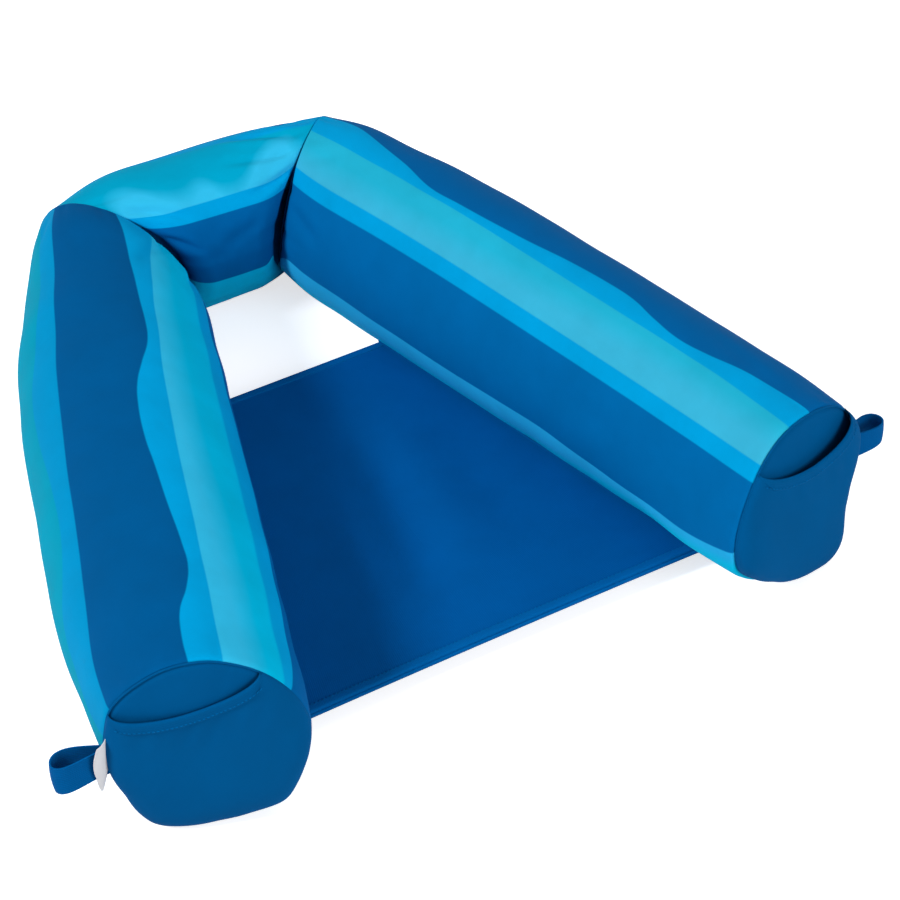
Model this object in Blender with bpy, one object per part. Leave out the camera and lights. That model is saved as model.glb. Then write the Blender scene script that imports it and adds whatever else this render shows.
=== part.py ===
"""Sling pool float: a U of bead-filled fabric tubes with a seat sling sewn between its arms.

Metres, +Z up. The origin is on the floor under the middle of the back tube. The arms run
towards -Y and spread apart. Every tube lies on the floor, so its underside is flat.
"""
from math import cos, pi, radians, sin, tan

import bmesh
import bpy
from mathutils import Vector

# Tubes
TUBE_RADIUS = 0.105
ARM_HEIGHT = 0.206
ARM_LENGTH = 0.812
ARM_SPLAY = radians(14.9)
ARM_OUTER_SWELL = 0.010
ARM_INNER_SWELL = 0.000
ARM_TOP_SWELL = 0.001
BACK_HALF_LENGTH = 0.125
BACK_OUTER_RADIUS = 0.104
BACK_INNER_RADIUS = 0.096
BACK_HEIGHT = 0.184
FLOOR_SQUASH = 0.007

# Corners, where the arms are mitred to the back
CORNER_OUTER_RADIUS = 0.080
CORNER_INNER_RADIUS = 0.100
CORNER_HEIGHT = 0.187
CORNER_TURN = radians(7)
CORNER_LEAN = 0.20
CORNER_SHIFT = 0.009
OUTER_SHOULDER = 0.340
INNER_SHOULDER = 0.100
BACK_OUTER_SHOULDER = 0.125
BACK_INNER_SHOULDER = 0.070
SEAM_ALLOWANCE = 0.010
SEAM_THICKNESS = 0.0020
SEAM_DEPTH = 0.0012

# Ends of the arms
END_OUTER_RADIUS = 0.091
END_INNER_RADIUS = 0.103
END_TURN = radians(3.5)
END_TAIL = 0.300
PANEL_DOME = 0.006
PIPING_WIDTH = 0.0030
PIPING_DEPTH = 0.0037
PIPING_STAND = 0.0010

# Pockets over the ends. A mouth cutter reaches behind and ahead of the end seam, and past the
# mouth's two ends by a share of the mouth's width.
POCKET_DEPTH = 0.020
MOUTH_OUTER_ANGLE = radians(35)
MOUTH_INNER_ANGLE = radians(128)
MOUTH_DROP = 0.018
MOUTH_OVERRUN = 0.4
CUTTER_BEHIND = 0.05
CUTTER_AHEAD = 0.10
HEM_WIDTH = 0.011
HEM_THICKNESS = 0.0034

# Fabric
COVER_WALL = 0.0020
LINER_SPACE = 0.0025
GAP = 0.0003

# Sling
SLING_SEAM_START = 0.190
SLING_SEAM_END = 0.725
SLING_EDGE_ANGLE = radians(-46.5)
SLING_THICKNESS = 0.0030
SLING_SAG = 0.010
SLING_HEM_WIDTH = 0.012
SLING_HEM_THICKNESS = 0.0048
SLING_HEM_DRAW = 0.002
TAPE_HALF_ANGLE = radians(5.5)
TAPE_THICKNESS = 0.0016

# Webbing loops and label, sewn into the outer side of the end seams
LOOP_WIDTH = 0.048
LOOP_REACH = 0.047
LOOP_OPENING = 0.017
LOOP_TIP_TURN = radians(105)
LEFT_LOOP_DROP = 0.104
RIGHT_LOOP_DROP = 0.082
WEBBING_THICKNESS = 0.0015
LABEL_LENGTH = 0.050
LABEL_REACH = 0.016
LABEL_THICKNESS = 0.0006
LABEL_TILT = radians(45)
LABEL_AHEAD = 0.0042

# Faceting
AROUND = 36
ARM_STEPS = 13
BACK_STEPS = 8
FILL_AROUND = 20
BACK_FILL_STATIONS = (-1, -0.5, 0, 0.5, 1)
ARM_FILL_STATIONS = (0, 0.1, 0.3, 0.6, 0.85, 1)
DOME_STEPS = (1.0, 0.97, 0.90, 0.78, 0.60, 0.35)
MOUTH_STEPS = 12
LOOP_STEPS = 9
SLING_STEPS_LONG = 12
SLING_STEPS_WIDE = 10
SHARP_ANGLE = radians(40)
WELD_DISTANCE = 1e-6
EMPTY_SIZE = 0.03

# A dome rises by (1 - share ** power) ** (1 / root) from its rim to its middle.
PANEL_SHAPE = (2, 1)
POCKET_SHAPE = (4, 3)

# Plan directions on the right side. A corner's seam plane would stand midway between the
# outward directions of back and arm, but is turned towards the arm and leans over it.
ARM_ALONG = Vector((sin(ARM_SPLAY), -cos(ARM_SPLAY), 0))
ARM_OUTWARD = Vector((cos(ARM_SPLAY), sin(ARM_SPLAY), 0))
CORNER_ANGLE = (ARM_SPLAY + pi / 2) / 2 - CORNER_TURN
CORNER_OUTWARD = Vector((cos(CORNER_ANGLE), sin(CORNER_ANGLE), 0))
CORNER_ACROSS = Vector((sin(CORNER_ANGLE), -cos(CORNER_ANGLE), 0))
CORNER_CENTRE = Vector((BACK_HALF_LENGTH, 0, 0))
COVER_SETBACK = SEAM_THICKNESS / 2 + GAP
UP = Vector((0, 0, 1))

MATERIALS = {
    "printed_fabric": ((0.0, 0.32, 0.66), 0.62),
    "solid_fabric": ((0.0, 0.10, 0.30), 0.66),
    "sling_fabric": ((0.0, 0.06, 0.24), 0.72),
    "webbing": ((0.0, 0.09, 0.28), 0.70),
    "liner": ((0.86, 0.87, 0.88), 0.75),
    "label": ((0.82, 0.82, 0.82), 0.60),
}


def material(piece_name, kind):
    """One Principled material for each piece."""
    colour, roughness = MATERIALS[kind]
    new = bpy.data.materials.new(piece_name + "_" + kind)
    new.use_nodes = True
    shader = new.node_tree.nodes["Principled BSDF"]
    shader.inputs["Base Color"].default_value = (*colour, 1)
    shader.inputs["Roughness"].default_value = roughness
    shader.inputs["Metallic"].default_value = 0.0
    new.diffuse_color = (*colour, 1)
    return new


def empty(name, place):
    """A joint's fixed point, on its axis."""
    new = bpy.data.objects.new(name, None)
    new.location = place
    new.empty_display_size = EMPTY_SIZE
    bpy.context.collection.objects.link(new)
    return new


def solid(name, kind, shape, joint):
    """An object from a bmesh, whose points are taken from its joint's place."""
    bmesh.ops.recalc_face_normals(shape, faces=shape.faces)
    mesh = bpy.data.meshes.new(name)
    shape.to_mesh(mesh)
    shape.free()
    mesh.shade_smooth()
    mesh.set_sharp_from_angle(angle=SHARP_ANGLE)
    mesh.materials.append(material(name, kind))
    new = bpy.data.objects.new(name, mesh)
    if joint:
        new.parent = joint
    bpy.context.collection.objects.link(new)
    return new


def piece(name, kind, points, faces, joint=None):
    """An object from world points and faces, with its origin on its joint's axis."""
    origin = joint.location.copy() if joint else Vector((0, 0, 0))
    shape = bmesh.new()
    vertices = [shape.verts.new(Vector(p) - origin) for p in points]
    for face in faces:
        shape.faces.new([vertices[i] for i in face])
    bmesh.ops.remove_doubles(shape, verts=shape.verts, dist=WELD_DISTANCE)
    return solid(name, kind, shape, joint)


def fade(share):
    """1 at nought, easing out to 0 at one."""
    return (1 - share) ** 2 if share < 1 else 0.0


def section(outer, inner, top, angle, inset):
    """Outward and upward place on a tube section that lies flattened on the floor."""
    half = outer if cos(angle) > 0 else inner
    upright = (top + FLOOR_SQUASH) / 2
    centre = top - upright
    return (half - inset) * cos(angle), max(inset, 0, centre + (upright - inset) * sin(angle))


def corner_point(angle, inset, across):
    """A point beside the right corner's seam plane, across it from the back to the arm."""
    outward, height = section(CORNER_OUTER_RADIUS, CORNER_INNER_RADIUS, CORNER_HEIGHT, angle, inset)
    lean = CORNER_LEAN * (height - CORNER_HEIGHT / 2)
    place = CORNER_CENTRE + CORNER_OUTWARD * outward + CORNER_ACROSS * (CORNER_SHIFT + lean + across)
    return place + UP * height


def arm_end_point(angle, inset, ahead):
    """A point on the right arm's end section."""
    outward, height = section(END_OUTER_RADIUS, END_INNER_RADIUS, ARM_HEIGHT, angle, inset)
    along = ARM_LENGTH - tan(END_TURN) * outward + ahead
    return CORNER_CENTRE + ARM_ALONG * along + ARM_OUTWARD * outward + UP * height


def swell(start, full, finish, u, shoulder, tail):
    """How far a tube's side stands out from the straight line between its two ends."""
    side = full - (full - start) * fade(u / shoulder) - (full - finish) * fade((1 - u) / tail)
    return side - (start + (finish - start) * u)


def arm_point(side, u, angle, inset=0.0, ahead=0.0):
    """A point on an arm, from its corner (0) to its end (1), on the right (1) or left (-1)."""
    seam_width = CORNER_OUTWARD.dot(ARM_OUTWARD)
    outer_shoulder = OUTER_SHOULDER / ARM_LENGTH
    inner_shoulder = INNER_SHOULDER / ARM_LENGTH
    tail = END_TAIL / ARM_LENGTH
    if cos(angle) > 0:
        start = CORNER_OUTER_RADIUS * seam_width
        out = swell(start, TUBE_RADIUS + ARM_OUTER_SWELL, END_OUTER_RADIUS, u, outer_shoulder, tail)
    else:
        start = CORNER_INNER_RADIUS * seam_width
        out = swell(start, TUBE_RADIUS + ARM_INNER_SWELL, END_INNER_RADIUS, u, inner_shoulder, tail)
    rise = swell(CORNER_HEIGHT, ARM_HEIGHT + ARM_TOP_SWELL, ARM_HEIGHT, u, outer_shoulder, tail)
    first = corner_point(angle, inset, COVER_SETBACK)
    last = arm_end_point(angle, inset, 0)
    place = first.lerp(last, u) + ARM_ALONG * ahead
    place += ARM_OUTWARD * out * cos(angle) + UP * rise * max(0, sin(angle))
    return Vector((side * place.x, place.y, place.z))


def back_point(share, angle, inset=0.0, shorter=0.0):
    """A point on the back tube, from the left corner (-1) to the right one (1)."""
    seam_width = CORNER_OUTWARD.y
    from_corner = BACK_HALF_LENGTH * (1 - abs(share))
    if cos(angle) > 0:
        full = BACK_OUTER_RADIUS - CORNER_OUTER_RADIUS * seam_width
        shoulder = BACK_OUTER_SHOULDER
    else:
        full = BACK_INNER_RADIUS - CORNER_INNER_RADIUS * seam_width
        shoulder = BACK_INNER_SHOULDER
    out = full * (1 - fade(from_corner / shoulder))
    rise = (BACK_HEIGHT - CORNER_HEIGHT) * (1 - fade(from_corner / BACK_OUTER_SHOULDER))
    place = corner_point(angle, inset, -COVER_SETBACK)
    place += Vector((-shorter, out * cos(angle), rise * max(0, sin(angle))))
    return Vector((share * place.x, place.y, place.z))


def angles(count):
    return [2 * pi * i / count for i in range(count)]


def bridge(first, second, count, closed=True):
    """Faces between two rings, or two rows, of count points."""
    steps = range(count if closed else count - 1)
    return [(first + i, first + (i + 1) % count, second + (i + 1) % count, second + i) for i in steps]


def tube_shell(name, kind, outer_rings, inner_rings, joint=None):
    """An open-ended tube with a wall, from matching rings of points."""
    count = len(outer_rings[0])
    rings = outer_rings + inner_rings[::-1]
    points = [p for ring in rings for p in ring]
    faces = []
    for i in range(len(rings)):
        faces += bridge(i * count, (i + 1) % len(rings) * count, count)
    return piece(name, kind, points, faces, joint)


def closed_tube(name, kind, rings, joint=None):
    """A solid from rings of points, with flat ends."""
    count = len(rings[0])
    points = [p for ring in rings for p in ring]
    faces = [tuple(range(count)), tuple(len(points) - 1 - i for i in range(count))]
    for i in range(len(rings) - 1):
        faces += bridge(i * count, (i + 1) * count, count)
    return piece(name, kind, points, faces, joint)


def sheet_solid(name, kind, upper, lower, joint=None):
    """A sheet with thickness, from two matching grids of points."""
    rows, columns = len(upper), len(upper[0])
    points = [p for grid in (upper, lower) for row in grid for p in row]
    below = rows * columns
    faces = []
    for r in range(rows - 1):
        faces += bridge(r * columns, (r + 1) * columns, columns, closed=False)
        faces += bridge(below + r * columns, below + (r + 1) * columns, columns, closed=False)
    rim = [c for c in range(columns)]
    rim += [r * columns + columns - 1 for r in range(1, rows)]
    rim += [(rows - 1) * columns + c for c in range(columns - 2, -1, -1)]
    rim += [r * columns for r in range(rows - 2, 0, -1)]
    for i, here in enumerate(rim):
        there = rim[(i + 1) % len(rim)]
        faces.append((here, there, below + there, below + here))
    return piece(name, kind, points, faces, joint)


def make_back():
    """The back tube: its cover, and the bead liner that fills it."""
    turns = angles(AROUND)
    stations = [sin(pi / 2 * (2 * i / BACK_STEPS - 1)) for i in range(BACK_STEPS + 1)]
    outer = [[back_point(s, a) for a in turns] for s in stations]
    inner = [[back_point(s, a, COVER_WALL) for a in turns] for s in stations]
    tube_shell("back_cover", "printed_fabric", outer, inner)
    inset = COVER_WALL + LINER_SPACE
    fill_turns = angles(FILL_AROUND)
    fill = []
    for s in BACK_FILL_STATIONS:
        fill.append([back_point(s, a, inset, LINER_SPACE) for a in fill_turns])
    closed_tube("back_bead_liner", "liner", fill)


def make_corner_seam(side, side_name):
    """The turned-in seam where an arm is sewn to the back, a flat ring on the corner's plane."""
    outer, inner = [], []
    for offset in (-SEAM_THICKNESS / 2, SEAM_THICKNESS / 2):
        for rings, inset in ((outer, SEAM_DEPTH), (inner, SEAM_ALLOWANCE)):
            ring = [corner_point(a, inset, offset) for a in angles(AROUND)]
            rings.append([Vector((side * p.x, p.y, p.z)) for p in ring])
    tube_shell(side_name + "_corner_seam", "solid_fabric", outer, inner)


def make_arm(side, side_name, joint):
    """An arm's cover and its bead liner."""
    turns = angles(AROUND)
    stations = [(1 - cos(pi * i / ARM_STEPS)) / 2 for i in range(ARM_STEPS + 1)]
    outer = [[arm_point(side, u, a) for a in turns] for u in stations]
    inner = [[arm_point(side, u, a, COVER_WALL) for a in turns] for u in stations]
    tube_shell(side_name + "_arm_cover", "printed_fabric", outer, inner, joint)
    inset = COVER_WALL + LINER_SPACE
    fill_turns = angles(FILL_AROUND)
    fill = []
    for u in ARM_FILL_STATIONS:
        ahead = LINER_SPACE * (1 - 2 * u)
        fill.append([arm_point(side, u, a, inset, ahead) for a in fill_turns])
    closed_tube(side_name + "_arm_bead_liner", "liner", fill, joint)


def end_point(side, angle, inset, ahead, share=1.0, lift=0.0):
    """A point in front of an arm's end: share is 1 on the rim and 0 in the middle."""
    rim = arm_point(side, 1, angle, inset, ahead)
    middle = arm_point(side, 1, 0, inset, ahead) + arm_point(side, 1, pi, inset, ahead)
    middle /= 2
    middle.z = ARM_HEIGHT / 2
    forward = Vector((side * ARM_ALONG.x, ARM_ALONG.y, 0))
    return middle + (rim - middle) * share + forward * lift


def make_piping(side, side_name, joint):
    """The roll of the end seam, round the arm's end."""
    inner_edge = PIPING_DEPTH - PIPING_STAND
    outer, inner = [], []
    for ahead in (GAP, GAP + PIPING_WIDTH):
        outer.append([arm_point(side, 1, a, -PIPING_STAND, ahead) for a in angles(AROUND)])
        inner.append([arm_point(side, 1, a, inner_edge, ahead) for a in angles(AROUND)])
    tube_shell(side_name + "_end_piping", "solid_fabric", outer, inner, joint)


def dome(side, inset, ahead, depth, shape):
    """Rings of points over an arm's end, from its rim to near its middle, and the middle point."""
    power, root = shape
    rings = []
    for share in DOME_STEPS:
        lift = depth * (1 - share ** power) ** (1 / root)
        rings.append([end_point(side, a, inset, ahead, share, lift) for a in angles(AROUND)])
    return rings, end_point(side, 0, inset, ahead, 0, depth)


def dome_shell(name, kind, outer, inner, joint=None):
    """A domed cap with a wall, from two sets of rings that each close on a middle point."""
    outer_rings, outer_tip = outer
    inner_rings, inner_tip = inner
    rings = outer_rings[::-1] + inner_rings
    points = [p for ring in rings for p in ring] + [outer_tip, inner_tip]
    faces = []
    for i in range(len(rings) - 1):
        faces += bridge(i * AROUND, (i + 1) * AROUND, AROUND)
    last = (len(rings) - 1) * AROUND
    for i in range(AROUND):
        faces.append((i, (i + 1) % AROUND, len(points) - 2))
        faces.append((last + i, last + (i + 1) % AROUND, len(points) - 1))
    return piece(name, kind, points, faces, joint)


def make_end_panel(side, side_name, joint):
    """The round panel that closes an arm's end, pushed out by the beads."""
    inset = PIPING_DEPTH - PIPING_STAND + GAP
    outer = dome(side, inset, GAP + COVER_WALL, PANEL_DOME, PANEL_SHAPE)
    inner = dome(side, inset + COVER_WALL, GAP, PANEL_DOME, PANEL_SHAPE)
    dome_shell(side_name + "_end_panel", "solid_fabric", outer, inner, joint)


def mouth_curve(drop):
    """The pocket's mouth on the end plane: outward and upward places, from the outer side in."""
    outer_end = Vector(section(END_OUTER_RADIUS, END_INNER_RADIUS, ARM_HEIGHT, MOUTH_OUTER_ANGLE, 0))
    inner_end = Vector(section(END_OUTER_RADIUS, END_INNER_RADIUS, ARM_HEIGHT, MOUTH_INNER_ANGLE, 0))
    beyond = (outer_end - inner_end) * MOUTH_OVERRUN
    points = [outer_end + beyond]
    for i in range(MOUTH_STEPS + 1):
        share = i / MOUTH_STEPS
        point = outer_end.lerp(inner_end, share)
        point.y -= 4 * MOUTH_DROP * share * (1 - share)
        points.append(point)
    points.append(inner_end - beyond)
    return [Vector((p.x, p.y - drop)) for p in points]


def mouth_cutter(name, side, lower_drop, upper_drop, joint):
    """A prism along the arm between the mouth's curve, let down by two drops."""
    outline = mouth_curve(lower_drop) + mouth_curve(upper_drop)[::-1]
    rings = []
    for along in (ARM_LENGTH - CUTTER_BEHIND, ARM_LENGTH + CUTTER_AHEAD):
        ring = []
        for p in outline:
            place = CORNER_CENTRE + ARM_ALONG * along + ARM_OUTWARD * p.x
            ring.append(Vector((side * place.x, place.y, p.y)))
        rings.append(ring)
    cutter = closed_tube(name, "solid_fabric", rings, joint)
    cutter.hide_render = True
    cutter.display_type = "WIRE"
    return cutter


def cut(target, cutter, operation):
    """A boolean of the target with a cutter."""
    modifier = target.modifiers.new(cutter.name, "BOOLEAN")
    modifier.object = cutter
    modifier.operation = operation
    modifier.solver = "EXACT"


def make_pocket(side, side_name, joint):
    """The pocket over an arm's end, open above its mouth, and the hem along the mouth."""
    start = 2 * GAP + PIPING_WIDTH
    outer = dome(side, 0, start, POCKET_DEPTH, POCKET_SHAPE)
    inner = dome(side, COVER_WALL, start, POCKET_DEPTH - COVER_WALL, POCKET_SHAPE)
    pocket = dome_shell(side_name + "_pocket", "solid_fabric", outer, inner, joint)
    clear = -2 * ARM_HEIGHT
    opening = mouth_cutter(side_name + "_mouth_cutter", side, HEM_WIDTH + GAP, clear, joint)
    cut(pocket, opening, "DIFFERENCE")
    thicker = (HEM_THICKNESS - COVER_WALL) / 2
    outer = dome(side, 0, start, POCKET_DEPTH + thicker, POCKET_SHAPE)
    inner = dome(side, HEM_THICKNESS, start, POCKET_DEPTH - COVER_WALL - thicker, POCKET_SHAPE)
    hem = dome_shell(side_name + "_pocket_hem", "solid_fabric", outer, inner, joint)
    band = mouth_cutter(side_name + "_hem_cutter", side, HEM_WIDTH, 0, joint)
    cut(hem, band, "INTERSECT")


def sling_edge(u, level):
    """Where a level of the sling meets the right arm's seam tape, at a share of the arm's length."""
    rise = level / (ARM_HEIGHT / 2 * cos(SLING_EDGE_ANGLE))
    return arm_point(1, u, pi - SLING_EDGE_ANGLE - rise, -2 * GAP - TAPE_THICKNESS)


def sling_point(u, across, level):
    """A point of the sling: across runs from -1 at the left arm to 1 at the right one."""
    edge = sling_edge(u, level)
    loose = 1 - across ** 2
    first = SLING_SEAM_START / ARM_LENGTH
    last = SLING_SEAM_END / ARM_LENGTH
    nearness = (u - first) / (last - first)
    draw = SLING_HEM_DRAW * nearness ** 3 * loose
    sag = SLING_SAG * 4 * nearness * (1 - nearness) * loose
    return Vector((across * edge.x, edge.y + draw, edge.z - sag))


def sling_strip(name, first, last, steps, thickness):
    """A stretch of the sling between two shares of the arms' length."""
    stations = [first + (last - first) * i / steps for i in range(steps + 1)]
    across = [2 * i / SLING_STEPS_WIDE - 1 for i in range(SLING_STEPS_WIDE + 1)]
    upper = [[sling_point(u, w, thickness / 2) for w in across] for u in stations]
    lower = [[sling_point(u, w, -thickness / 2) for w in across] for u in stations]
    return sheet_solid(name, "sling_fabric", upper, lower)


def make_sling():
    """The seat sling, with a doubled hem across its rear and its front."""
    first = SLING_SEAM_START / ARM_LENGTH
    last = SLING_SEAM_END / ARM_LENGTH
    hem = SLING_HEM_WIDTH / ARM_LENGTH
    space = 2 * GAP / ARM_LENGTH
    sling_strip("sling_rear_hem", first, first + hem, 1, SLING_HEM_THICKNESS)
    sling_strip("sling_panel", first + hem + space, last - hem - space, SLING_STEPS_LONG, SLING_THICKNESS)
    sling_strip("sling_front_hem", last - hem, last, 1, SLING_HEM_THICKNESS)


def make_sling_tape(side, side_name, joint):
    """The tape under an arm's inner side that the sling's edge is sewn to."""
    first = SLING_SEAM_START / ARM_LENGTH
    last = SLING_SEAM_END / ARM_LENGTH
    stations = [first + (last - first) * i / SLING_STEPS_LONG for i in range(SLING_STEPS_LONG + 1)]
    middle = pi - SLING_EDGE_ANGLE
    turns = [middle - TAPE_HALF_ANGLE, middle, middle + TAPE_HALF_ANGLE]
    near = [[arm_point(side, u, a, -GAP) for a in turns] for u in stations]
    far = [[arm_point(side, u, a, -GAP - TAPE_THICKNESS) for a in turns] for u in stations]
    sheet_solid(side_name + "_sling_tape", "webbing", near, far, joint)


def turned(direction, angle, side):
    """A plan direction turned towards the float's front."""
    along = Vector((side * ARM_ALONG.x, ARM_ALONG.y, 0))
    return (direction * cos(angle) + along * sin(angle)).normalized()


def loop_outline():
    """Half widths of the folded webbing at its reaches from the sewn root, as a drop shape."""
    half_root = WEBBING_THICKNESS
    tip_radius = LOOP_OPENING / 2
    tip_centre = LOOP_REACH - WEBBING_THICKNESS - tip_radius
    around_tip = [LOOP_TIP_TURN * (1 - 2 * i / LOOP_STEPS) for i in range(LOOP_STEPS + 1)]
    around_root = [-pi / 2, -pi, -3 * pi / 2]
    inner = [Vector((3 * half_root, 0))]
    for a in around_tip:
        inner.append(Vector((tip_centre + tip_radius * cos(a), tip_radius * sin(a))))
    outer = [Vector((half_root * cos(a), half_root * sin(a))) for a in around_root]
    for a in around_tip:
        radius = tip_radius + WEBBING_THICKNESS
        outer.append(Vector((tip_centre + radius * cos(a), radius * sin(a))))
    return outer, inner


def loop_root(side):
    """The sewn line of a loop, on the outer side of the end seam."""
    place = arm_point(side, 1, 0, -PIPING_STAND - GAP - WEBBING_THICKNESS, GAP + PIPING_WIDTH / 2)
    place.z = ARM_HEIGHT - (RIGHT_LOOP_DROP if side > 0 else LEFT_LOOP_DROP)
    return place


def make_loop(side, side_name, joint):
    """A loop of webbing, folded double and standing on edge."""
    outward = Vector((side * ARM_OUTWARD.x, ARM_OUTWARD.y, 0))
    along = Vector((side * ARM_ALONG.x, ARM_ALONG.y, 0))
    root = loop_root(side)
    outer, inner = loop_outline()

    def placed(p, level):
        return root + outward * p.x + along * p.y + Vector((0, 0, level))

    low, high = -LOOP_WIDTH / 2, LOOP_WIDTH / 2
    points = []
    for outline in (outer, inner):
        for level in (low, high):
            points += [placed(p, level) for p in outline]
    n, m = len(outer), len(inner)
    shape = bmesh.new()
    vertices = [shape.verts.new(p - joint.location) for p in points]
    for face in bridge(0, n, n) + bridge(2 * n, 2 * n + m, m):
        shape.faces.new([vertices[i] for i in face])
    for start_outer, start_inner in ((0, 2 * n), (n, 2 * n + m)):
        rim = vertices[start_outer:start_outer + n]
        hole = vertices[start_inner:start_inner + m]
        edges = [shape.edges.get((rim[i], rim[(i + 1) % n])) for i in range(n)]
        edges += [shape.edges.get((hole[i], hole[(i + 1) % m])) for i in range(m)]
        bmesh.ops.triangle_fill(shape, edges=edges, use_beauty=True)
    solid(side_name + "_loop", "webbing", shape, joint)


def label_root():
    """The sewn line of the label, in front of the left loop's root."""
    half = LABEL_THICKNESS / 2
    stand = PIPING_STAND + GAP + half
    place = arm_point(-1, 1, 0, -stand, LABEL_AHEAD + half)
    place.z = ARM_HEIGHT - LEFT_LOOP_DROP
    return place


def make_label(joint):
    """A blank care label beside the left loop."""
    outward = turned(Vector((-ARM_OUTWARD.x, ARM_OUTWARD.y, 0)), LABEL_TILT, -1)
    across = Vector((-outward.y, outward.x, 0)) * LABEL_THICKNESS / 2
    root = label_root()
    front = []
    rear = []
    for level in (-LABEL_LENGTH / 2, 0, LABEL_LENGTH / 2):
        low = root + Vector((0, 0, level))
        front.append([low + outward * reach + across for reach in (0, LABEL_REACH / 2, LABEL_REACH)])
        rear.append([low + outward * reach - across for reach in (0, LABEL_REACH / 2, LABEL_REACH)])
    sheet_solid("care_label", "label", front, rear, joint)


def arm_hinge(side):
    """The upright crease at the inner side of a corner, which the arm folds about."""
    place = CORNER_CENTRE + CORNER_ACROSS * CORNER_SHIFT - CORNER_OUTWARD * (CORNER_INNER_RADIUS + GAP)
    return Vector((side * place.x, place.y, 0))


def main():
    for old in list(bpy.data.objects):
        bpy.data.objects.remove(old, do_unlink=True)
    make_back()
    make_sling()
    for side, side_name in ((-1, "left"), (1, "right")):
        make_corner_seam(side, side_name)
        hinge = empty(side_name + "_arm_hinge", arm_hinge(side))
        make_arm(side, side_name, hinge)
        make_piping(side, side_name, hinge)
        make_end_panel(side, side_name, hinge)
        make_pocket(side, side_name, hinge)
        make_sling_tape(side, side_name, hinge)
        loop_hinge = empty(side_name + "_loop_hinge", loop_root(side))
        make_loop(side, side_name, loop_hinge)
    make_label(empty("label_hinge", label_root()))


main()
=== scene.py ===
"""Looks of the sling pool float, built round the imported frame.

Metres, +Z up. The origin is on the floor under the middle of the back tube, and the arms run
towards -Y. Angles round a tube start at its outer side and pass the top at 90 degrees.
"""
from math import pi, radians

import bmesh
import bpy
import numpy as np
from mathutils import Matrix, Vector


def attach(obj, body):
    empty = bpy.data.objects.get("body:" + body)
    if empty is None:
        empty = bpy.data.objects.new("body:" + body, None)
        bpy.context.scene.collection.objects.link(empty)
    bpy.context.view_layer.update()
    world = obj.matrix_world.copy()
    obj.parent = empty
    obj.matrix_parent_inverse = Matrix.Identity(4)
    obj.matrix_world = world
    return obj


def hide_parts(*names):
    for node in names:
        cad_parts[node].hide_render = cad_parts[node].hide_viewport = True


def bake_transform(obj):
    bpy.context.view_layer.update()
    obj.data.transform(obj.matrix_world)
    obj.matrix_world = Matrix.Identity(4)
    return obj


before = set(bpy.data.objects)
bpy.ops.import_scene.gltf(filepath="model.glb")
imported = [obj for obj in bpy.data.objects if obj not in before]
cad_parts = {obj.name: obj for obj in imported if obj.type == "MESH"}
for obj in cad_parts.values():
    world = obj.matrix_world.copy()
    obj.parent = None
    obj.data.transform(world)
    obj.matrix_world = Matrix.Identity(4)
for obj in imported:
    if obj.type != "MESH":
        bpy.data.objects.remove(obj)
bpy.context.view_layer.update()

# The frame's own sizes, which the soft pieces are built on
ARM_HEIGHT = 0.206
ARM_LENGTH = 0.812
ARM_SPLAY = radians(14.9)
BACK_HALF_LENGTH = 0.125
BACK_OUTER_RADIUS = 0.104
BACK_INNER_RADIUS = 0.096
BACK_HEIGHT = 0.184
FLOOR_SQUASH = 0.007
FLOOR_CURVE = 0.007
CORNER_OUTER_RADIUS = 0.080
CORNER_INNER_RADIUS = 0.100
CORNER_HEIGHT = 0.187
CORNER_TURN = radians(7)
CORNER_LEAN = 0.20
CORNER_SHIFT = 0.009
OUTER_SHOULDER = 0.340
INNER_SHOULDER = 0.100
BACK_OUTER_SHOULDER = 0.125
BACK_INNER_SHOULDER = 0.070
END_TURN = radians(3.5)
END_TAIL = 0.300
SLING_FIRST = 0.1935 / ARM_LENGTH
SLING_LAST = 0.725 / ARM_LENGTH
SLING_EDGE_ANGLE = radians(-46.5)
SLING_HALF = 0.0015
SLING_SAG = 0.010
SLING_HEM_WIDTH = 0.012
SLING_HEM_DRAW = 0.002
TAPE_HALF_ANGLE = radians(5.5)

# Soft details of the corners: how deep the seam and its inner crease draw the covers in, how far
# that reaches, and where round the seam the crease and the outer point lie
SEAM_GAP = 0.0003
SEAM_DIP = 0.0010
CREASE_DIP = 0.0095
HOOD_LENGTH = 0.005
CREASE_LENGTH = 0.017
CREASE_ANGLE = radians(168)
CREASE_SPREAD = radians(34)
POINT_LENGTH = 0.045
POINT_ANGLE = radians(25)
POINT_SPREAD = radians(45)
# The sewn allowance's section (depth under the covers, half width)
ALLOWANCE_SECTION = ((0.003, -0.0008), (0.003, 0.0008), (0.008, 0.0010), (0.013, 0.0006),
                     (0.013, -0.0006), (0.008, -0.0010))

# Puckers beside a seam: how deep they are, how far they reach, and how soon they start
CORNER_PUCKERS = (0.0020, 0.026, 0.004)
END_PUCKERS = (0.0011, 0.018, 0.003)
BACK_PUCKERS = (0.0026, 0.036, 0.004)
SLACK = 0.0011
FLOOR_MARGIN = 0.003
FLOOR_FADE = 0.015
# A crease's fade at its ends, as a share of its length, and the low ridge that runs beside it
CREASE_FADE = 0.35
CREASE_RIDGE = 0.35
CREASE_RIDGE_PLACE = 1.9
CREASE_GIRTH = 0.1
FINEST_STEP = 0.0008
STEP_GROWTH = 1.12

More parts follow.
